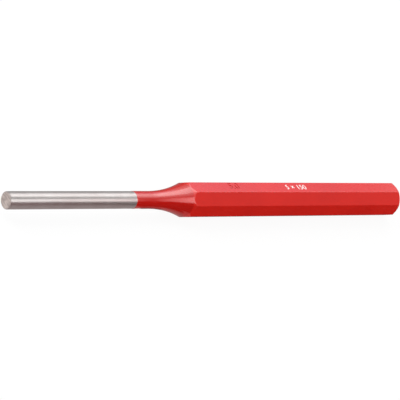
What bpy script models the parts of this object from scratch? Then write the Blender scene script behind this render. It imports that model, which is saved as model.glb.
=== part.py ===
"""Pin punch: an octagonal bar whose front end is turned down to a round pin.

The punch is one piece of tool steel. An octagonal bar is cut to length, its front end is turned to a
straight pin, and a hollow flare of large radius runs from the pin up into the eight flats, so that
each flat ends in a scallop. The struck end is turned to a chamfer. All but the front of the pin is
painted red.

The punch lies on one of its flats, along +X, with +Z up. The origin is the centre of the pin's tip
face, on the bar's axis. Lengths are in metres.
"""

import math

import bmesh
import bpy
from mathutils import Matrix, Vector

# Driving dimensions
LENGTH = 0.150
FLATS = 8
ACROSS_FLATS = 0.010
BAR_EDGE_RADIUS = 0.0004
PIN_DIAMETER = 0.005
PIN_LENGTH = 0.050
TIP_EDGE_BREAK = 0.0002
FLARE_RADIUS = 0.0355
HEAD_CHAMFER_DEPTH = 0.0008
HEAD_CHAMFER_ANGLE = math.radians(45)
BARE_LENGTH = 0.0442

# Finish, with sRGB colours
PAINT_COLOUR = "B8211D"
PAINT_ROUGHNESS = 0.32
STEEL_COLOUR = "C4BCB6"
STEEL_ROUGHNESS = 0.34

# Fineness of the faceted solid
TURNED_STEPS = 96
FLARE_STEPS = 20
EDGE_STEPS = 4
SMOOTH_BELOW = math.radians(14)

# How far the stock and the lathe's cut stand clear of each other where they don't meet
ALLOWANCE = 0.001
MERGE_DISTANCE = 0.000001

# Order of the material slots
PAINT_SLOT = 0
STEEL_SLOT = 1

CORNER_RADIUS = ACROSS_FLATS / 2 / math.cos(math.pi / FLATS)
PIN_RADIUS = PIN_DIAMETER / 2
OUTER_RADIUS = CORNER_RADIUS + ALLOWANCE


def clear_scene():
    for item in list(bpy.data.objects):
        bpy.data.objects.remove(item, do_unlink=True)


def hex_to_linear(colour):
    """Turn an sRGB hex colour into the linear RGBA that a shader takes."""
    channels = []
    for start in (0, 2, 4):
        value = int(colour[start:start + 2], 16) / 255
        linear = value / 12.92 if value <= 0.04045 else ((value + 0.055) / 1.055) ** 2.4
        channels.append(linear)
    return (*channels, 1.0)


def make_material(name, colour, roughness, metallic):
    material = bpy.data.materials.new(name)
    material.use_nodes = True
    shader = material.node_tree.nodes["Principled BSDF"]
    shader.inputs["Base Color"].default_value = hex_to_linear(colour)
    shader.inputs["Roughness"].default_value = roughness
    shader.inputs["Metallic"].default_value = metallic
    return material


def make_collection(name):
    collection = bpy.data.collections.new(name)
    bpy.context.scene.collection.children.link(collection)
    return collection


def flare_points():
    """The hollow flare as (radius, height) points, from the pin out past the bar's corners.

    The arc leaves the pin along its side, and its centre is outside the punch.
    """
    sweep = math.acos(1 - (OUTER_RADIUS - PIN_RADIUS) / FLARE_RADIUS)
    points = []
    for step in range(FLARE_STEPS + 1):
        angle = sweep * step / FLARE_STEPS
        radius = PIN_RADIUS + FLARE_RADIUS * (1 - math.cos(angle))
        height = PIN_LENGTH + FLARE_RADIUS * math.sin(angle)
        points.append((radius, height))
    return points


def turned_points():
    """Half outline of all that the lathe cuts, as (radius, height), from the struck end to the tip.

    Between the chamfer and the flare it stands outside the bar, so the flats are left as rolled.
    """
    face_radius = CORNER_RADIUS - HEAD_CHAMFER_DEPTH
    chamfer_run = (OUTER_RADIUS - face_radius) / math.tan(HEAD_CHAMFER_ANGLE)
    struck_end = [(0, LENGTH), (face_radius, LENGTH), (OUTER_RADIUS, LENGTH - chamfer_run)]
    flare = reversed(flare_points())
    tip = [(PIN_RADIUS, TIP_EDGE_BREAK), (PIN_RADIUS - TIP_EDGE_BREAK, 0), (0, 0)]
    return [*struck_end, *flare, *tip]


def make_turned_envelope(collection):
    """The closed round solid inside which the lathe leaves the metal, standing along its own Z."""
    mesh = bpy.data.meshes.new("turned_envelope")
    outline = bmesh.new()
    corners = [outline.verts.new((radius, 0, height)) for radius, height in turned_points()]
    for upper, lower in zip(corners, corners[1:]):
        outline.edges.new((upper, lower))
    outline.to_mesh(mesh)
    outline.free()

    envelope = bpy.data.objects.new("turned_envelope", mesh)
    collection.objects.link(envelope)
    turn = envelope.modifiers.new("turn", "SCREW")
    turn.steps = TURNED_STEPS
    turn.render_steps = TURNED_STEPS
    turn.use_merge_vertices = True
    turn.merge_threshold = MERGE_DISTANCE
    envelope.hide_render = True
    envelope.display_type = "WIRE"
    return envelope


def make_bar(collection):
    """The octagonal stock along its own Z, longer than the punch at both ends, edges rounded."""
    mesh = bpy.data.meshes.new("pin_punch")
    stock = bmesh.new()
    flat_side_out = Matrix.Rotation(math.pi / FLATS, 4, "Z")
    bmesh.ops.create_cone(
        stock,
        cap_ends=True,
        segments=FLATS,
        radius1=CORNER_RADIUS,
        radius2=CORNER_RADIUS,
        depth=LENGTH + 2 * ALLOWANCE,
        matrix=Matrix.Translation((0, 0, LENGTH / 2)) @ flat_side_out,
    )
    stock.to_mesh(mesh)
    stock.free()

    bar = bpy.data.objects.new("pin_punch", mesh)
    collection.objects.link(bar)
    edges = bar.modifiers.new("rolled_edges", "BEVEL")
    edges.width = BAR_EDGE_RADIUS * math.tan(math.pi / FLATS)
    edges.segments = EDGE_STEPS
    edges.limit_method = "ANGLE"
    return bar


def turn_bar(bar, envelope):
    """Leave only the metal that is in both the bar and the lathe's envelope."""
    cut = bar.modifiers.new("lathe", "BOOLEAN")
    cut.operation = "INTERSECT"
    cut.solver = "EXACT"
    cut.object = envelope
    turned = bpy.data.meshes.new_from_object(bar.evaluated_get(bpy.context.evaluated_depsgraph_get()))
    turned.name = "pin_punch"
    bar.modifiers.clear()
    bar.data = turned


def finish_surface(punch, paint, steel):
    """Paint all behind the bare front, with a clean line there, and shade the round stretches smooth."""
    mesh = punch.data
    mesh.materials.clear()
    mesh.materials.append(paint)
    mesh.materials.append(steel)

    skin = bmesh.new()
    skin.from_mesh(mesh)
    bmesh.ops.bisect_plane(
        skin,
        geom=[*skin.verts, *skin.edges, *skin.faces],
        dist=MERGE_DISTANCE,
        plane_co=(0, 0, BARE_LENGTH),
        plane_no=(0, 0, 1),
    )
    for face in skin.faces:
        is_bare = face.calc_center_median().z < BARE_LENGTH
        face.material_index = STEEL_SLOT if is_bare else PAINT_SLOT
    skin.to_mesh(mesh)
    skin.free()
    mesh.shade_smooth()
    mesh.set_sharp_from_angle(angle=SMOOTH_BELOW)


def lay_along_x(*items):
    """Turn the bar's axis from Z to +X, which lays the punch on a flat."""
    for item in items:
        item.rotation_euler = Vector((0, 0, 1)).rotation_difference(Vector((1, 0, 0))).to_euler()


def build():
    clear_scene()
    parts = make_collection("pin_punch")
    cutters = make_collection("pin_punch_cutters")
    paint = make_material("red_paint", PAINT_COLOUR, PAINT_ROUGHNESS, 0.0)
    steel = make_material("bare_steel", STEEL_COLOUR, STEEL_ROUGHNESS, 1.0)

    punch = make_bar(parts)
    envelope = make_turned_envelope(cutters)
    turn_bar(punch, envelope)
    finish_surface(punch, paint, steel)
    lay_along_x(punch, envelope)


build()
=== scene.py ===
"""Looks of the pin punch: ground steel pin, red stoved enamel, and plain size figures on the top flat.

The punch lies along +X with its pin's tip at the origin. Lengths are in metres unless a name ends
in _MM, and texture scales are per millimetre.
"""

import math

import bmesh
import bpy
from mathutils import Euler, Matrix, Vector


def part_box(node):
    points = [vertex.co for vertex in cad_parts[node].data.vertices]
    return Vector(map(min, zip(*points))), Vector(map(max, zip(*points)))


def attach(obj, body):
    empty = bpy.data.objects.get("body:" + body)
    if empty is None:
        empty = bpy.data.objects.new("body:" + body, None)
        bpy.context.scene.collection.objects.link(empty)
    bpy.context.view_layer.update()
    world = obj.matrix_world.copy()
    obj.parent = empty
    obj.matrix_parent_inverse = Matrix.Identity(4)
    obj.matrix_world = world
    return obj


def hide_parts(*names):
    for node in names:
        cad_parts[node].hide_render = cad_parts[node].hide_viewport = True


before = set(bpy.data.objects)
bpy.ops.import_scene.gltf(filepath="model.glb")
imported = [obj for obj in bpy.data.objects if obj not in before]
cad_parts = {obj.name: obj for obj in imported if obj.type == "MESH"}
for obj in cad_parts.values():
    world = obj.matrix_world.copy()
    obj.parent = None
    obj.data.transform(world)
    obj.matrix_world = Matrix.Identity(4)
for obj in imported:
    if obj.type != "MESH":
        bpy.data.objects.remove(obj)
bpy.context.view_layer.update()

MM = 0.001

# The punch, with the sizes that the frame holds read from it
NODE_LOW, NODE_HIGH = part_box("pin_punch")
LENGTH = NODE_HIGH.x - NODE_LOW.x
ACROSS_FLATS = NODE_HIGH.z - NODE_LOW.z
FLATS = 8
PIN_RADIUS = 2.5 * MM
PIN_LENGTH = 50 * MM
FLARE_RADIUS = 35.5 * MM
BARE_LENGTH = 44.2 * MM
TIP_EDGE_BREAK = 0.2 * MM
HEAD_CHAMFER_DEPTH = 0.8 * MM
HEAD_CHAMFER_ANGLE = math.radians(45)
CORNER_RADIUS = ACROSS_FLATS / 2 / math.cos(math.pi / FLATS)
FLOOR_HEIGHT = NODE_LOW.z

# The bar stood a little off the lathe's centre, so the flare runs further up the flats on one side.
# The lean grows along the first stretch and dies away along the second.
RUNOUT_LEAN = 0.85 * MM
RUNOUT_ANGLE = math.radians(135)
RUNOUT_SPAN = (PIN_LENGTH, 63 * MM)
RUNOUT_FADE = (66 * MM, 140 * MM)

# The enamel's own thickness, and how it softens the edges under it. On the turned flare and neck, nearer
# to the axis than the flats, its red is painted darker: painted shade for the hollow, gone by the flats.
ENAMEL_THICKNESS = 0.06 * MM
ENAMEL_EDGE_RUN = 0.3 * MM
BAR_EDGE_BLEND = 0.08 * MM
SCALLOP_BLEND = 0.12 * MM
HEAD_EDGE_ROUND = 0.16 * MM
TIP_EDGE_ROUND = 0.05 * MM
PAINTED_SHADE_FULL_MM = 4.90
PAINTED_SHADE_GONE_MM = 4.99

# Fineness of the turned skin. Its rings gather towards the bar's edges, and guard rings beside each
# bend keep the long stretches straight.
TURNED_STEPS = 384
EDGE_GATHER = 0.7
FLARE_STEPS = 30
SCALLOP_STEPS = 26
CHAMFER_STEPS = 18
ROUND_STEPS = 5
TIP_ROUND_STEPS = 2
GUARD = 0.25 * MM
STOCK_ALLOWANCE = 0.4 * MM
TIP_FACE_DEPTH = 0.01 * MM
MERGE_DISTANCE = 0.0005 * MM
SMOOTH_BELOW = math.radians(35)

# Size figures on the top flat: the pin's diameter pressed in, and diameter and length in white ink.
# The ink stands its thickness above the flat. A figure is about seven tenths of the type's size high.
STAMP_TEXT = "5.0"
STAMP_CENTRE = 80.6 * MM
STAMP_OFF_MIDDLE = 0.45 * MM
STAMP_HEIGHT = 2.4 * MM
STAMP_DEPTH = 0.13 * MM
PRINT_TEXT = "5 × 150"
PRINT_CENTRE = 105.7 * MM
PRINT_HEIGHT = 1.9 * MM
PRINT_THICKNESS = 0.008 * MM
FIGURE_SHARE = 0.7
FIGURE_STEPS = 6

# Sizes that the flats' node tree takes, under the names of its inputs
FLATS_SIZES = {
    "Across Flats": ACROSS_FLATS - 2 * PRINT_THICKNESS,
    "Bar Edge Blend": BAR_EDGE_BLEND,
    "Scallop Blend": SCALLOP_BLEND,
    "Runout Lean": RUNOUT_LEAN,
    "Runout Angle": RUNOUT_ANGLE,
    "Runout Start": RUNOUT_SPAN[0],
    "Runout Full": RUNOUT_SPAN[1],
    "Fade Start": RUNOUT_FADE[0],
    "Fade End": RUNOUT_FADE[1],
    "Bare Length": BARE_LENGTH,
    "Tip Face Depth": TIP_FACE_DEPTH,
}

# The camera stands low on the pin's side and is rolled so that the punch lies level in its picture
CAMERA_TARGET = Vector((70.03 * MM, -0.056 * MM, -0.06 * MM))
CAMERA_DISTANCE = 625.03 * MM
CAMERA_AZIMUTH = math.radians(-50.366)
CAMERA_ELEVATION = math.radians(30.788)
CAMERA_ROLL = math.radians(31.521)
CAMERA_LENS_MM = 192.52
SENSOR_MM = 36
CAMERA_NEAREST = 0.01
CAMERA_FARTHEST = 20.0

# Light, as radiance, where 1 shows as white
WHITE = 1.0
ROOM_FILL = 0.17

# The white board under the punch. Where it is seen itself, most of its white is a glow of its own,
# so that the shadow on it stays faint. The glow rises from near the punch to far from it, as the
# lamps' light falls.
BOARD_RADIUS = 6.0
BOARD_STEPS = 96
BOARD_LIGHTING_COLOUR = "959595"
BOARD_SEEN_COLOUR = "3C3C3C"
BOARD_ROUGHNESS = 0.9
BOARD_NEAR = 0.09
BOARD_FAR = 0.60
BOARD_NEAR_GLOW = 0.944
BOARD_FAR_GLOW = 0.976

# How far lamps and flags stand from the punch's axis. Neighbouring flags in front differ a little, so
# that their edges can overlap.
SOFTBOX_DISTANCE = 0.50
FILL_DISTANCE = 0.60
CARD_DISTANCE = 0.05
LOW_FRONT_DISTANCE = 0.50
MIDDLE_FRONT_DISTANCE = 0.46
HIGH_FRONT_DISTANCE = 0.52
BACK_DISTANCE = 0.55
FLOOR_FLAG_LIFT = 0.02 * MM
UPPER_FLOOR_FLAG_LIFT = 0.05 * MM

# Reaches along the punch, as near and far x: beside the pin, and past both ends
BESIDE_PIN = (-0.30, 0.058)
PAST_BOTH_ENDS = (-0.60, 1.20)


def linear(colour):
    """Turn an sRGB hex colour into linear RGBA."""
    channels = []
    for start in (0, 2, 4):
        value = int(colour[start:start + 2], 16) / 255
        channels.append(value / 12.92 if value <= 0.04045 else ((value + 0.055) / 1.055) ** 2.4)
    return (*channels, 1.0)


def node(tree, kind, inputs=None, **settings):
    """Add a node, set its properties, and fill its inputs with values or other nodes' outputs."""
    made = tree.nodes.new(kind)
    for name, value in settings.items():
        setattr(made, name, value)
    for socket, value in (inputs or {}).items():
        if isinstance(value, bpy.types.NodeSocket):
            tree.links.new(value, made.inputs[socket])
        else:
            made.inputs[socket].default_value = value
    return made


# Materials

def new_material(name):
    """A material with its Principled shader, and the object's own coordinates in millimetres."""
    material = bpy.data.materials.new(name)
    material.use_nodes = True
    tree = material.node_tree
    shader = tree.nodes["Principled BSDF"]
    place = node(tree, "ShaderNodeTexCoord")
    millimetres = node(
        tree, "ShaderNodeVectorMath", {0: place.outputs["Object"], "Scale": 1 / MM}, operation="SCALE"
    )
    return material, tree, shader, millimetres.outputs["Vector"]


def make_enamel():
    """Red stoving enamel, sprayed over the drawn bar and baked.

    A deep opaque red under a clear skin. The skin gives the sharp edge of a highlight and the
    pigment below it a wider glow, and a faint orange peel of about a millimetre unsettles both.
    On the turned flare and neck its red is painted darker than on the drawn flats: painted shade for the
    hollow.
    """
    material, tree, shader, place = new_material("red_stoving_enamel")

    # The shade drifts a little over each centimetre
    drift = node(tree, "ShaderNodeTexNoise", {"Vector": place, "Scale": 0.09, "Detail": 2.0})
    on_flats = node(tree, "ShaderNodeValToRGB", {"Fac": drift.outputs["Fac"]})
    on_flats.color_ramp.elements[0].position = 0.35
    on_flats.color_ramp.elements[0].color = linear("C71B12")
    on_flats.color_ramp.elements[1].position = 0.65
    on_flats.color_ramp.elements[1].color = linear("CD1D13")

    # Nearer to the axis than the flats lies turned steel, whose red is painted darker: painted shade for
    # the hollow flare and neck
    off_axis = node(tree, "ShaderNodeVectorMath", {0: place, 1: (0.0, 1.0, 1.0)}, operation="MULTIPLY")
    radius = node(tree, "ShaderNodeVectorMath", {0: off_axis.outputs["Vector"]}, operation="LENGTH")
    flat_share = node(
        tree,
        "ShaderNodeMapRange",
        {"Value": radius.outputs["Value"], "From Min": PAINTED_SHADE_FULL_MM, "From Max": PAINTED_SHADE_GONE_MM},
        interpolation_type="SMOOTHSTEP",
    )
    shade = node(
        tree,
        "ShaderNodeMix",
        {"Factor": flat_share.outputs["Result"], 6: linear("B61109"), 7: on_flats.outputs["Color"]},
        data_type="RGBA",
    )
    tree.links.new(shade.outputs[2], shader.inputs["Base Color"])

    haze = node(tree, "ShaderNodeTexNoise", {"Vector": place, "Scale": 0.5, "Detail": 3.0})
    rough = node(
        tree, "ShaderNodeMapRange", {"Value": haze.outputs["Fac"], "To Min": 0.18, "To Max": 0.24}
    )
    tree.links.new(rough.outputs["Result"], shader.inputs["Roughness"])

    peel = node(tree, "ShaderNodeTexNoise", {"Vector": place, "Scale": 0.9, "Detail": 1.0})
    bump = node(
        tree,
        "ShaderNodeBump",
        {"Height": peel.outputs["Fac"], "Strength": 0.22, "Distance": 0.006 * MM},
    )
    tree.links.new(bump.outputs["Normal"], shader.inputs["Normal"])
    tree.links.new(bump.outputs["Normal"], shader.inputs["Coat Normal"])
    shader.inputs["Metallic"].default_value = 0.0
    shader.inputs["IOR"].default_value = 1.5
    shader.inputs["Coat Weight"].default_value = 1.0
    shader.inputs["Coat Roughness"].default_value = 0.16
    shader.inputs["Coat IOR"].default_value = 1.58
    return material


def make_ground_steel():
    """Hardened tool steel, ground between wheels.

    The wheels leave fine rings round the pin. They are a few hundredths of a millimetre apart,
    drawn about five times coarser here so that they show, and they pull highlights out along it.
    """
    material, tree, shader, place = new_material("ground_tool_steel")
    ringwise = node(tree, "ShaderNodeVectorMath", {0: place, 1: (6.0, 0.25, 0.25)}, operation="MULTIPLY")
    rings = node(
        tree, "ShaderNodeTexNoise", {"Vector": ringwise.outputs["Vector"], "Scale": 1.0, "Detail": 4.0}
    )

    # A thin film of oil dulls it unevenly, in patches of some four millimetres
    film = node(tree, "ShaderNodeTexNoise", {"Vector": place, "Scale": 0.25, "Detail": 4.0})
    tint = node(tree, "ShaderNodeValToRGB", {"Fac": film.outputs["Fac"]})
    tint.color_ramp.elements[0].position = 0.3
    tint.color_ramp.elements[0].color = linear("C2BBB9")
    tint.color_ramp.elements[1].position = 0.7
    tint.color_ramp.elements[1].color = linear("C9C4C2")
    tree.links.new(tint.outputs["Color"], shader.inputs["Base Color"])

    rough = node(
        tree, "ShaderNodeMapRange", {"Value": rings.outputs["Fac"], "To Min": 0.50, "To Max": 0.54}
    )
    tree.links.new(rough.outputs["Result"], shader.inputs["Roughness"])
    bump = node(
        tree,
        "ShaderNodeBump",
        {"Height": rings.outputs["Fac"], "Strength": 0.3, "Distance": 0.0008 * MM},
    )
    tree.links.new(bump.outputs["Normal"], shader.inputs["Normal"])
    around = node(tree, "ShaderNodeTangent", direction_type="RADIAL", axis="X")
    tree.links.new(around.outputs["Tangent"], shader.inputs["Tangent"])
    shader.inputs["Metallic"].default_value = 0.85
    shader.inputs["Anisotropic"].default_value = 0.86
    shader.inputs["Anisotropic Rotation"].default_value = 0.25
    return material


def make_faced_steel():
    """The same steel where a wheel has faced it off: dull, slightly warm, with slanting marks.

    The marks are about a tenth of a millimetre apart, drawn some five times coarser here so that
    they show.
    """
    material, tree, shader, place = new_material("faced_tool_steel")
    slant = node(
        tree,
        "ShaderNodeMapping",
        {"Vector": place, "Rotation": (math.radians(35), 0.0, 0.0), "Scale": (1.0, 0.5, 1.9)},
    )
    marks = node(
        tree, "ShaderNodeTexNoise", {"Vector": slant.outputs["Vector"], "Scale": 1.1, "Detail": 3.0}
    )
    tint = node(tree, "ShaderNodeValToRGB", {"Fac": marks.outputs["Fac"]})
    tint.color_ramp.elements[0].position = 0.36
    tint.color_ramp.elements[0].color = linear("A79A95")
    tint.color_ramp.elements[1].position = 0.66
    tint.color_ramp.elements[1].color = linear("CFC1BB")
    tree.links.new(tint.outputs["Color"], shader.inputs["Base Color"])
    bump = node(
        tree,
        "ShaderNodeBump",
        {"Height": marks.outputs["Fac"], "Strength": 0.6, "Distance": 0.01 * MM},
    )
    tree.links.new(bump.outputs["Normal"], shader.inputs["Normal"])
    shader.inputs["Metallic"].default_value = 0.9
    shader.inputs["Roughness"].default_value = 0.45
    return material


def make_print_ink():
    """White pad-printing ink: thin, flat and very slightly see-through where it is thinnest."""
    material, tree, shader, place = new_material("white_print_ink")
    cover = node(tree, "ShaderNodeTexNoise", {"Vector": place, "Scale": 4.0, "Detail": 3.0})
    tint = node(tree, "ShaderNodeValToRGB", {"Fac": cover.outputs["Fac"]})
    tint.color_ramp.elements[0].position = 0.35
    tint.color_ramp.elements[0].color = linear("EBC9C6")
    tint.color_ramp.elements[1].position = 0.55
    tint.color_ramp.elements[1].color = linear("F2ECEA")
    tree.links.new(tint.outputs["Color"], shader.inputs["Base Color"])
    shader.inputs["Roughness"].default_value = 0.42
    return material


# The punch's skin

def arc(centre, radius, start, end, steps):
    """Points of an arc in the (x, radius) plane. Angles run from straight down, towards +X."""
    points = []
    for step in range(steps + 1):
        angle = start + (end - start) * step / steps
        points.append((centre[0] + radius * math.sin(angle), centre[1] - radius * math.cos(angle)))
    return points


def round_corner(before, corner, after, radius, steps):
    """The points that replace a corner of an outline when it is rounded to that radius."""
    corner = Vector(corner)
    towards_before = (Vector(before) - corner).normalized()
    towards_after = (Vector(after) - corner).normalized()
    half_angle = towards_before.angle(towards_after) / 2
    centre = corner + (towards_before + towards_after).normalized() * radius / math.sin(half_angle)
    start = corner + towards_before * radius / math.tan(half_angle) - centre
    end = corner + towards_after * radius / math.tan(half_angle) - centre
    turn = start.angle(end)
    points = []
    for step in range(steps + 1):
        share = step / steps
        spoke = (start * math.sin(turn * (1 - share)) + end * math.sin(turn * share)) / math.sin(turn)
        points.append(tuple(centre + spoke))
    return points


def spread(start, end, steps):
    """Evenly spaced points from start to end, both included."""
    return [tuple(Vector(start).lerp(Vector(end), step / steps)) for step in range(steps + 1)]


def turned_outline():
    """Half outline of the turned skin as (x, radius), from the tip's centre to the struck end's.

    Over the shank it stands outside the bar's corners, where the flats then cut it back.
    """
    tip_centre = (0.0, 0.0)
    tip_face = (0.0, PIN_RADIUS - TIP_EDGE_BREAK)
    tip_side = (TIP_EDGE_BREAK, PIN_RADIUS)
    bare_end = (BARE_LENGTH, PIN_RADIUS)
    outline = [tip_centre, (0.0, PIN_RADIUS / 2)]
    outline += round_corner(tip_centre, tip_face, tip_side, TIP_EDGE_ROUND, TIP_ROUND_STEPS)
    outline += round_corner(tip_face, tip_side, bare_end, TIP_EDGE_ROUND, TIP_ROUND_STEPS)
    outline += [(TIP_EDGE_BREAK + GUARD, PIN_RADIUS), (BARE_LENGTH - GUARD, PIN_RADIUS), bare_end]

    # The enamel starts in a small rounded step
    coated_radius = PIN_RADIUS + ENAMEL_THICKNESS
    for step in range(1, ROUND_STEPS + 1):
        angle = math.pi / 2 * step / ROUND_STEPS
        along = BARE_LENGTH + ENAMEL_EDGE_RUN * (1 - math.cos(angle))
        outline.append((along, PIN_RADIUS + ENAMEL_THICKNESS * math.sin(angle)))
    outline.append((BARE_LENGTH + ENAMEL_EDGE_RUN + GUARD, coated_radius))

    # The hollow flare, with close rings only where it runs out into the flats
    flare_radius = FLARE_RADIUS - ENAMEL_THICKNESS
    flare_centre = (PIN_LENGTH, coated_radius + flare_radius)
    outer_radius = CORNER_RADIUS + STOCK_ALLOWANCE
    scallop_start = ACROSS_FLATS / 2 - STOCK_ALLOWANCE / 2

    def sweep_to(radius):
        """Angle along the flare's arc at which it reaches that radius."""
        return math.acos(1 - (radius - coated_radius) / flare_radius)

    scallop_sweep = sweep_to(scallop_start)
    outline += arc(flare_centre, flare_radius, 0.0, scallop_sweep, FLARE_STEPS)
    outline += arc(flare_centre, flare_radius, scallop_sweep, sweep_to(outer_radius), SCALLOP_STEPS)[1:]
    flare_end = outline[-1][0]
    outline.append((flare_end + GUARD, outer_radius))

    # The struck end's chamfer
    face_radius = CORNER_RADIUS - HEAD_CHAMFER_DEPTH
    chamfer_start = (LENGTH - (outer_radius - face_radius) / math.tan(HEAD_CHAMFER_ANGLE), outer_radius)
    chamfer_end = (LENGTH, face_radius)
    rim = round_corner(chamfer_start, chamfer_end, (LENGTH, 0.0), HEAD_EDGE_ROUND, ROUND_STEPS)
    outline.append((chamfer_start[0] - GUARD, outer_radius))
    outline += spread(chamfer_start, rim[0], CHAMFER_STEPS)[:-1]
    outline += rim
    outline += [(LENGTH, face_radius - HEAD_EDGE_ROUND - GUARD), (LENGTH, face_radius / 2), (LENGTH, 0.0)]
    return outline


def flats_tree(enamel, ground_steel, faced_steel):
    """Geometry Nodes that cut the turned skin back to the bar's flats and give each stretch its finish.

    A point's distance from the axis becomes the smooth minimum of three: its own, and that of the
    two flats nearest to it. The blends leave the soft edges that enamel has.
    """
    tree = bpy.data.node_groups.new("bar_flats", "GeometryNodeTree")
    tree.interface.new_socket("Geometry", in_out="INPUT", socket_type="NodeSocketGeometry")
    for name in FLATS_SIZES:
        tree.interface.new_socket(name, in_out="INPUT", socket_type="NodeSocketFloat")
    tree.interface.new_socket("Geometry", in_out="OUTPUT", socket_type="NodeSocketGeometry")
    given = node(tree, "NodeGroupInput")
    result = node(tree, "NodeGroupOutput")

    def maths(operation, *values):
        """Add a Math node and give its output."""
        return node(tree, "ShaderNodeMath", dict(enumerate(values)), operation=operation).outputs["Value"]

    place = node(tree, "GeometryNodeInputPosition")
    apart = node(tree, "ShaderNodeSeparateXYZ", {"Vector": place.outputs["Position"]})
    along, across, up = (apart.outputs[axis] for axis in "XYZ")
    own_radius = maths("SQRT", maths("ADD", maths("MULTIPLY", across, across), maths("MULTIPLY", up, up)))

    # Angle from the middle of the nearest flat, and from the middle of the next. A full turn is added
    # before the remainder is taken, so that it is never below zero.
    sector = 2 * math.pi / FLATS
    turned = maths("ARCTAN2", up, across)
    gather = maths("MULTIPLY", maths("SINE", maths("MULTIPLY", turned, FLATS)), EDGE_GATHER / FLATS)
    angle = maths("ADD", turned, gather)
    bearing = maths("ADD", angle, 2 * math.pi + sector / 2)
    off_flat = maths("ABSOLUTE", maths("SUBTRACT", maths("MODULO", bearing, sector), sector / 2))
    off_next_flat = maths("SUBTRACT", sector, off_flat)
    half_width = maths("MULTIPLY", given.outputs["Across Flats"], 0.5)
    to_flat = maths("DIVIDE", half_width, maths("COSINE", off_flat))
    to_next_flat = maths("DIVIDE", half_width, maths("COSINE", off_next_flat))
    bar_radius = maths("SMOOTH_MIN", to_flat, to_next_flat, given.outputs["Bar Edge Blend"])
    skin_radius = maths("SMOOTH_MIN", own_radius, bar_radius, given.outputs["Scallop Blend"])

    # The flare's lean along the bar, which dies away before the struck end
    grown, died = (
        node(
            tree,
            "ShaderNodeMapRange",
            {"Value": along, "From Min": given.outputs[start], "From Max": given.outputs[end]},
            interpolation_type="SMOOTHSTEP",
        ).outputs["Result"]
        for start, end in (("Runout Start", "Runout Full"), ("Fade Start", "Fade End"))
    )
    towards = maths("COSINE", maths("SUBTRACT", angle, given.outputs["Runout Angle"]))
    full_lean = maths("MULTIPLY", towards, given.outputs["Runout Lean"])
    lean = maths("MULTIPLY", full_lean, maths("SUBTRACT", grown, died))
    moved = node(
        tree,
        "ShaderNodeCombineXYZ",
        {
            "X": maths("ADD", along, lean),
            "Y": maths("MULTIPLY", skin_radius, maths("COSINE", angle)),
            "Z": maths("MULTIPLY", skin_radius, maths("SINE", angle)),
        },
    )
    shaped = node(
        tree,
        "GeometryNodeSetPosition",
        {"Geometry": given.outputs["Geometry"], "Position": moved.outputs["Vector"]},
    )

    painted = node(
        tree, "GeometryNodeSetMaterial", {"Geometry": shaped.outputs["Geometry"], "Material": enamel}
    )
    bared = node(
        tree,
        "GeometryNodeSetMaterial",
        {
            "Geometry": painted.outputs["Geometry"],
            "Selection": maths("LESS_THAN", along, given.outputs["Bare Length"]),
            "Material": ground_steel,
        },
    )
    faced = node(
        tree,
        "GeometryNodeSetMaterial",
        {
            "Geometry": bared.outputs["Geometry"],
            "Selection": maths("LESS_THAN", along, given.outputs["Tip Face Depth"]),
            "Material": faced_steel,
        },
    )
    solid = node(tree, "GeometryNodeRealizeInstances", {"Geometry": faced.outputs["Geometry"]})
    tree.links.new(solid.outputs["Geometry"], result.inputs["Geometry"])
    return tree


def set_tree_input(modifier, name, value):
    """Set a Geometry Nodes modifier's named input by its socket's identifier."""
    for item in modifier.node_group.interface.items_tree:
        if item.item_type == "SOCKET" and item.in_out == "INPUT" and item.name == name:
            modifier[item.identifier] = value


def as_plain_mesh(item, name):
    """Replace an object by a new one that holds its evaluated mesh, with no modifiers."""
    bpy.context.view_layer.update()
    evaluated = item.evaluated_get(bpy.context.evaluated_depsgraph_get())
    mesh = bpy.data.meshes.new_from_object(evaluated)
    mesh.transform(item.matrix_world)
    mesh.name = name
    plain = bpy.data.objects.new(name, mesh)
    bpy.context.scene.collection.objects.link(plain)
    bpy.data.objects.remove(item, do_unlink=True)
    return plain


def close_seams(mesh):
    """Join the corners that coincide, and turn every face outwards."""
    merged = bmesh.new()
    merged.from_mesh(mesh)
    bmesh.ops.remove_doubles(merged, verts=merged.verts, dist=MERGE_DISTANCE)
    bmesh.ops.recalc_face_normals(merged, faces=merged.faces)
    merged.to_mesh(mesh)
    merged.free()


def make_skin(enamel, ground_steel, faced_steel):
    """The whole punch as one closed skin: an outline turned about X, then cut back to the flats."""
    mesh = bpy.data.meshes.new("turned_outline")
    lathe = bmesh.new()
    corners = [lathe.verts.new((x, radius, 0.0)) for x, radius in turned_outline()]
    for near, far in zip(corners, corners[1:]):
        lathe.edges.new((near, far))
    lathe.to_mesh(mesh)
    lathe.free()
    outline = bpy.data.objects.new("turned_outline", mesh)
    bpy.context.scene.collection.objects.link(outline)

    turn = outline.modifiers.new("turn", "SCREW")
    turn.axis = "X"
    turn.steps = TURNED_STEPS
    turn.render_steps = TURNED_STEPS
    turn.use_merge_vertices = True
    turn.merge_threshold = MERGE_DISTANCE
    flats = outline.modifiers.new("flats", "NODES")
    flats.node_group = flats_tree(enamel, ground_steel, faced_steel)
    for name, size in FLATS_SIZES.items():
        set_tree_input(flats, name, size)
    skin = as_plain_mesh(outline, "punch_skin")
    close_seams(skin.data)
    return skin


# Size figures

def make_figures(name, text, height, depth):
    """Figures that read along +X, centred on the origin and standing from -depth to +depth."""
    curve = bpy.data.curves.new(name, "FONT")
    curve.body = text
    curve.align_x = "CENTER"
    curve.align_y = "CENTER"
    curve.size = height / FIGURE_SHARE
    curve.extrude = depth
    curve.resolution_u = FIGURE_STEPS
    item = bpy.data.objects.new(name, curve)
    bpy.context.scene.collection.objects.link(item)
    return item


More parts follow.
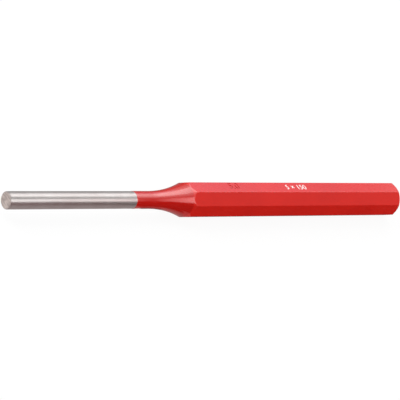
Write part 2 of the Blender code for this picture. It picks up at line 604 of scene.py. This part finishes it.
def stamp_size(skin):
    """Press the pin's size into the top flat before the enamel goes on."""
    item = make_figures("size_stamp", STAMP_TEXT, STAMP_HEIGHT, STAMP_DEPTH)
    item.location = (STAMP_CENTRE, STAMP_OFF_MIDDLE, NODE_HIGH.z)
    cutter = as_plain_mesh(item, "size_stamp")
    close_seams(cutter.data)

    press = skin.modifiers.new("press", "BOOLEAN")
    press.operation = "DIFFERENCE"
    press.solver = "EXACT"
    press.object = cutter
    stamped = as_plain_mesh(skin, "punch_body")
    bpy.data.objects.remove(cutter, do_unlink=True)
    return stamped


def print_size(ink):
    """The punch's size in white ink on the same flat."""
    item = make_figures("size_print", PRINT_TEXT, PRINT_HEIGHT, PRINT_THICKNESS)
    item.location = (PRINT_CENTRE, 0.0, NODE_HIGH.z - PRINT_THICKNESS)
    printed = as_plain_mesh(item, "size_print")
    printed.data.materials.clear()
    printed.data.materials.append(ink)
    return printed


# Studio

def around_axis(angle, distance):
    """A point beside the punch's axis. Angle 0 is level in front of it, 90 degrees is above."""
    return Vector((0.0, -distance * math.cos(angle), distance * math.sin(angle)))


def place_panel(item, angle, distance, near_x, far_x):
    """Stand a panel's middle beside the axis, facing it."""
    item.location = around_axis(angle, distance) + Vector(((near_x + far_x) / 2, 0.0, 0.0))
    item.rotation_euler = Euler((math.pi / 2 - angle, 0.0, 0.0))
    bpy.context.scene.collection.objects.link(item)


def panel_width(low, high, distance):
    """Width of a flat panel that spans the angles from low to high at that distance."""
    return 2 * distance * math.tan((high - low) / 2)


def make_softbox(name, low, high, distance, near_x, far_x, radiance):
    """A soft lamp that spans the angles from low to high, in degrees, about the punch's axis.

    Its power follows from its size, so that it gives the radiance asked for.
    """
    low, high = math.radians(low), math.radians(high)
    lamp = bpy.data.lights.new(name, "AREA")
    lamp.shape = "RECTANGLE"
    lamp.size = far_x - near_x
    lamp.size_y = panel_width(low, high, distance)
    lamp.energy = math.pi * radiance * lamp.size * lamp.size_y
    item = bpy.data.objects.new(name, lamp)
    item.visible_camera = False
    place_panel(item, (low + high) / 2, distance, near_x, far_x)
    return item


def glow_material(name, brightness, faded, axis, colour):
    """A surface that lights nothing. Its brightness may fade along one of its own axes."""
    material = bpy.data.materials.new(name)
    material.use_nodes = True
    tree = material.node_tree
    tree.nodes.remove(tree.nodes["Principled BSDF"])
    glow = node(tree, "ShaderNodeEmission", {"Color": linear(colour), "Strength": brightness})
    if faded != brightness:
        place = node(tree, "ShaderNodeTexCoord")
        apart = node(tree, "ShaderNodeSeparateXYZ", {"Vector": place.outputs["Generated"]})
        fade = node(
            tree,
            "ShaderNodeMapRange",
            {"Value": apart.outputs[axis], "To Min": brightness, "To Max": faded},
        )
        tree.links.new(fade.outputs["Result"], glow.inputs["Strength"])
    tree.links.new(glow.outputs["Emission"], tree.nodes["Material Output"].inputs["Surface"])
    material.cycles.emission_sampling = "NONE"
    return material


def flag_mesh(name, length, width):
    """A flat oblong, centred, with its length along X."""
    shape = bmesh.new()
    bmesh.ops.create_grid(shape, x_segments=1, y_segments=1, size=0.5)
    shape.transform(Matrix.Diagonal((length, width, 1.0, 1.0)))
    mesh = bpy.data.meshes.new(name)
    shape.to_mesh(mesh)
    shape.free()
    return mesh


def hide_flag(item, material):
    """A studio flag shows only in the punch's gloss. It neither blocks light nor meets the camera."""
    item.data.materials.append(material)
    item.visible_camera = False
    item.visible_diffuse = False
    item.visible_shadow = False
    item.visible_transmission = False


def make_flag(
    name, low, high, distance, near_x, far_x, brightness, faded=None, axis="X", colour="FFFFFF"
):
    """A flag beside the axis that spans the angles from low to high, in degrees.

    It may fade along the punch, on its X, or from the low angle to the high, on its Y.
    """
    low, high = math.radians(low), math.radians(high)
    item = bpy.data.objects.new(name, flag_mesh(name, far_x - near_x, panel_width(low, high, distance)))
    place_panel(item, (low + high) / 2, distance, near_x, far_x)
    faded = brightness if faded is None else faded
    hide_flag(item, glow_material(name, brightness, faded, axis, colour))


def make_floor_flag(
    name, near_x, far_x, near_y, far_y, brightness, colour="FFFFFF", lift=FLOOR_FLAG_LIFT
):
    """A strip just over the floor, which the pin and the lower flats mirror in the floor's place."""
    item = bpy.data.objects.new(name, flag_mesh(name, far_x - near_x, far_y - near_y))
    item.location = ((near_x + far_x) / 2, (near_y + far_y) / 2, FLOOR_HEIGHT + lift)
    bpy.context.scene.collection.objects.link(item)
    hide_flag(item, glow_material(name, brightness, brightness, "X", colour))


def seen_itself(tree):
    """1 for a ray that shows the background itself: from the camera, or by gloss or glass."""
    path = node(tree, "ShaderNodeLightPath")
    bare = node(
        tree,
        "ShaderNodeMath",
        {0: path.outputs["Is Camera Ray"], 1: path.outputs["Is Glossy Ray"]},
        operation="MAXIMUM",
    )
    both = node(
        tree,
        "ShaderNodeMath",
        {0: bare.outputs["Value"], 1: path.outputs["Is Transmission Ray"]},
        operation="MAXIMUM",
    )
    return both.outputs["Value"]


def make_world():
    """An even white room: white where it is seen, and a modest fill where it only lights."""
    world = bpy.data.worlds.new("white_room")
    world.use_nodes = True
    tree = world.node_tree
    strength = node(
        tree,
        "ShaderNodeMapRange",
        {"Value": seen_itself(tree), "To Min": ROOM_FILL, "To Max": WHITE},
    )
    background = tree.nodes["Background"]
    background.inputs["Color"].default_value = linear("FFFFFF")
    tree.links.new(strength.outputs["Result"], background.inputs["Strength"])
    world.cycles.sampling_method = "NONE"
    bpy.context.scene.world = world


def make_floor():
    """White board. Far from the lamps its own glow keeps it as white as it is near the punch."""
    shape = bmesh.new()
    bmesh.ops.create_circle(shape, cap_ends=True, segments=BOARD_STEPS, radius=BOARD_RADIUS)
    mesh = bpy.data.meshes.new("floor")
    shape.to_mesh(mesh)
    shape.free()
    floor = bpy.data.objects.new("floor", mesh)
    floor.location = (LENGTH / 2, 0.0, FLOOR_HEIGHT)
    bpy.context.scene.collection.objects.link(floor)

    material = bpy.data.materials.new("white_board")
    material.use_nodes = True
    tree = material.node_tree
    shader = tree.nodes["Principled BSDF"]
    seen = seen_itself(tree)
    board = node(
        tree,
        "ShaderNodeMix",
        {"Factor": seen, 6: linear(BOARD_LIGHTING_COLOUR), 7: linear(BOARD_SEEN_COLOUR)},
        data_type="RGBA",
    )
    tree.links.new(board.outputs[2], shader.inputs["Base Color"])
    shader.inputs["Roughness"].default_value = BOARD_ROUGHNESS
    shader.inputs["Specular IOR Level"].default_value = 0.0
    place = node(tree, "ShaderNodeTexCoord")
    reach = node(tree, "ShaderNodeVectorMath", {0: place.outputs["Object"]}, operation="LENGTH")
    far = node(
        tree,
        "ShaderNodeMapRange",
        {
            "Value": reach.outputs["Value"],
            "From Min": BOARD_NEAR,
            "From Max": BOARD_FAR,
            "To Min": BOARD_NEAR_GLOW,
            "To Max": BOARD_FAR_GLOW,
        },
        interpolation_type="SMOOTHSTEP",
    )
    glow = node(tree, "ShaderNodeMath", {0: far.outputs["Result"], 1: seen}, operation="MULTIPLY")
    shader.inputs["Emission Color"].default_value = linear("FFFFFF")
    tree.links.new(glow.outputs["Value"], shader.inputs["Emission Strength"])
    material.cycles.emission_sampling = "NONE"
    mesh.materials.append(material)


def make_camera():
    """The camera at the photo's angle, far off and with a long lens."""
    data = bpy.data.cameras.new("camera")
    data.sensor_width = SENSOR_MM
    data.lens = CAMERA_LENS_MM
    data.clip_start = CAMERA_NEAREST
    data.clip_end = CAMERA_FARTHEST
    camera = bpy.data.objects.new("camera", data)
    back = Vector((
        math.sin(CAMERA_AZIMUTH) * math.cos(CAMERA_ELEVATION),
        -math.cos(CAMERA_AZIMUTH) * math.cos(CAMERA_ELEVATION),
        math.sin(CAMERA_ELEVATION),
    ))
    camera.location = CAMERA_TARGET + back * CAMERA_DISTANCE
    level = (-back).to_track_quat("-Z", "Y").to_matrix()
    camera.rotation_euler = (level @ Matrix.Rotation(CAMERA_ROLL, 3, "Z")).to_euler()
    bpy.context.scene.collection.objects.link(camera)
    bpy.context.scene.camera = camera


def make_lamps():
    """A long softbox overhead, and fills that light the punch but that it doesn't mirror."""
    make_softbox("overhead_softbox_near", 85, 123, SOFTBOX_DISTANCE, -0.15, 0.12, 1.65)
    make_softbox("overhead_softbox_far", 85, 123, SOFTBOX_DISTANCE, 0.12, 0.45, 2.18)

    # The softbox's dim rim, which the top flat mirrors near the struck end, lights nothing
    rim = make_softbox("overhead_softbox_rim", 85, 123, SOFTBOX_DISTANCE, 0.45, 0.65, 0.65)
    rim.visible_diffuse = False

    # Rays of rough gloss that met a fill by chance would still show it, so they leave it out
    for name, low, high, near_x, far_x, radiance in (
        ("low_near_fill", 20, 32, -0.60, -0.10, 6.0),
        ("low_front_fill", 0, 12, 0.05, 0.45, 13.7),
        ("high_front_fill", 56, 82, 0.25, 0.95, 2.0),
        ("high_back_fill", 106, 150, -0.60, -0.10, 6.8),
        ("low_back_fill", 130, 165, 0.25, 0.95, 5.8),
    ):
        fill = make_softbox(name, low, high, FILL_DISTANCE, near_x, far_x, radiance)
        fill.visible_glossy = False
        fill.data.cycles.use_multiple_importance_sampling = False


def make_flags():
    """What the punch's gloss shows: floor strips, small cards beside the pin, and long flags."""
    make_floor_flag("dim_pin_floor", -0.30, 0.050, -0.500, -0.012, 0.23, "FFB4B4")
    make_floor_flag("pale_pin_floor", -0.30, 0.050, -0.012, -0.0015, 0.44, "FFE8E8")
    make_floor_flag("dark_front_floor", 0.050, 0.90, -0.500, -0.0062, 0.01)
    make_floor_flag("rosy_flare_floor", 0.057, 0.066, -0.0045, 0.004, 0.48, "FFCBCB")
    make_floor_flag("dim_flare_floor", 0.057, 0.063, -0.0062, -0.0045, 0.25)
    make_floor_flag(
        "rosy_scallop_floor",
        0.063,
        0.0672,
        -0.0098,
        -0.0045,
        0.70,
        "FFA8A8",
        UPPER_FLOOR_FLAG_LIFT,
    )
    make_floor_flag("dim_neck_floor", 0.050, 0.057, -0.0062, 0.004, 0.14)
    make_floor_flag("dim_under_floor", 0.066, 0.90, -0.0062, 0.004, 0.14)
    make_floor_flag("dim_back_floor", 0.000, 0.90, 0.004, 0.900, 0.2)

    make_flag("bright_pin_card", 25, 56, CARD_DISTANCE, *BESIDE_PIN, 2.41, colour="FCFFFF")
    make_flag("rosy_front_card", 25, 56, CARD_DISTANCE, 0.058, 0.090, 4.3, 0.0, colour="FFCECE")
    make_flag("dark_pin_flag", 57, 83, CARD_DISTANCE, *BESIDE_PIN, 0.1)
    make_flag("rosy_low_flag", 0, 24, CARD_DISTANCE, -0.30, 0.050, 0.18, colour="FF5858")

    make_flag("dark_front_flag", -2, 24, LOW_FRONT_DISTANCE, *PAST_BOTH_ENDS, 0.02)
    make_flag("dim_front_flag", 24, 58, MIDDLE_FRONT_DISTANCE, *PAST_BOTH_ENDS, 0.2)
    make_flag("feathered_front_flag", 58, 84, HIGH_FRONT_DISTANCE, *PAST_BOTH_ENDS, 0.3, 1.5, "Y")

    make_flag("near_back_flag", 124, 136, BACK_DISTANCE, -0.60, 0.30, 1.1)
    make_flag("bright_back_flag", 124, 136, BACK_DISTANCE, 0.30, 0.46, 2.01, colour="F3F3FF")
    make_flag("faded_back_flag", 124, 136, BACK_DISTANCE, 0.46, 0.75, 1.18, 0.354, colour="EDEDFF")
    make_flag("pale_back_flag", 136, 152, BACK_DISTANCE, -0.60, 0.46, 0.6)
    make_flag("dim_back_flag", 136, 152, BACK_DISTANCE, 0.46, 0.75, 0.708, 0.177, colour="EDEDFF")
    make_flag("dark_back_flag", 152, 181, BACK_DISTANCE, *PAST_BOTH_ENDS, 0.16)


def build():
    bpy.context.scene.view_settings.view_transform = "Standard"
    make_camera()
    make_world()
    make_floor()
    make_lamps()
    make_flags()

    skin = make_skin(make_enamel(), make_ground_steel(), make_faced_steel())
    body = stamp_size(skin)
    body.data.shade_smooth()
    body.data.set_sharp_from_angle(angle=SMOOTH_BELOW)
    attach(body, "root")
    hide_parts("pin_punch")

    printed = print_size(make_print_ink())
    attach(printed, "root")


build()
